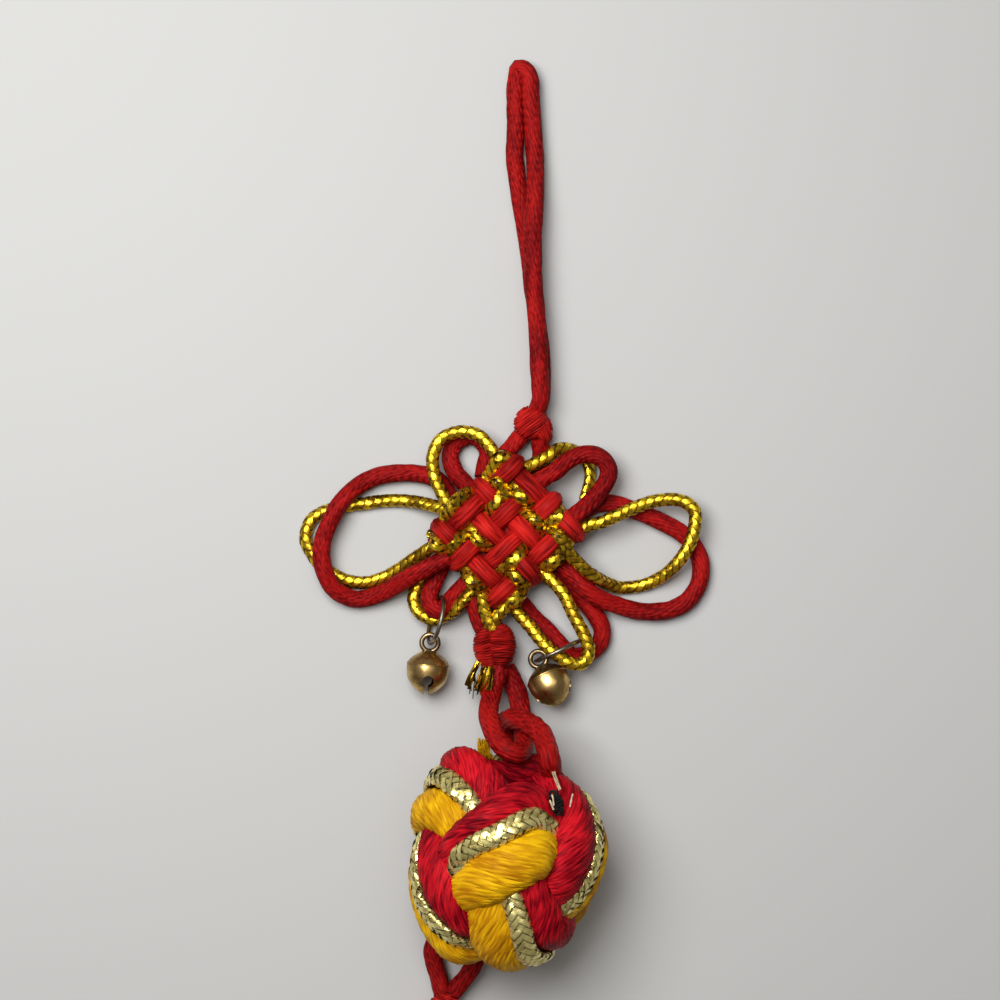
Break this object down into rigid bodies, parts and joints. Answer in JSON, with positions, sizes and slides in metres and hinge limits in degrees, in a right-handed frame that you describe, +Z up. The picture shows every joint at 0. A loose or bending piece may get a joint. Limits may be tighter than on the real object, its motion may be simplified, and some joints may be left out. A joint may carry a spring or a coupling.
{
  "type": "knotted silk tassel with ball knot and small bells",
  "caption": "Silk hanging ornament: cord loop, flat woven knot with looped ears, small brass bells on rings, a ball knot of thick cords and lace, and a tassel below.",
  "frame": {"origin": "on the table under the middle of the whole length and width, with the ornament lying face up", "axes": "+Y along the ornament towards the hanging loop, +X to its right seen from the front, +Z up out of its face"},
  "size_m": [0.0569, 0.2067, 0.0258],
  "materials": {
    "red_silk": "satin plied cord",
    "gold_braid": "metallic braid",
    "ball_cords": "thick plied cords and flat metallic lace",
    "black_thread": "matt",
    "brass": "worn",
    "steel_wire": "dull"
  },
  "bodies": {
    "ornament": {"ball_knot": "ball_cords", "ball_loop": "red_silk", "bottom_knot": "red_silk", "ear_left_gold": "gold_braid", "ear_left_red": "red_silk", "ear_lower_left_gold": "gold_braid", "ear_lower_left_red": "red_silk", "ear_lower_right_gold": "gold_braid", "ear_lower_right_red": "red_silk", "ear_right_gold": "gold_braid", "ear_right_red": "red_silk", "ear_upper_left_gold": "gold_braid", "ear_upper_left_red": "red_silk", "ear_upper_right_gold": "gold_braid", "ear_upper_right_red": "red_silk", "foot_left": "red_silk", "foot_right": "red_silk", "gold_tail_1": "gold_braid", "gold_tail_2": "gold_braid", "gold_tail_3": "gold_braid", "hanging_loop": "red_silk", "knot_body": "red_silk", "knot_link": "red_silk", "leg_left": "red_silk", "leg_right": "red_silk", "neck_binding": "gold_braid", "ring_left": "steel_wire", "ring_right": "steel_wire", "tassel": "red_silk", "tassel_knot": "red_silk", "thread_tie": "black_thread", "top_knot": "red_silk"},
    "bell_left": {"bell_left": "brass"},
    "bell_right": {"bell_right": "brass"}
  },
  "joints": [
    {"name": "bell_left_swing", "type": "hinge", "parent": "ornament", "child": "bell_left", "pos_m": [-0.0105, 0.0234, 0.00305], "axis": [0, 0, 1], "range_deg": [-25, 25]},
    {"name": "bell_right_lift", "type": "hinge", "parent": "ornament", "child": "bell_right", "pos_m": [0.0046, 0.0211, 0.0021], "axis": [-0.908, -0.4191, 0], "range_deg": [0, 10]}
  ]
}
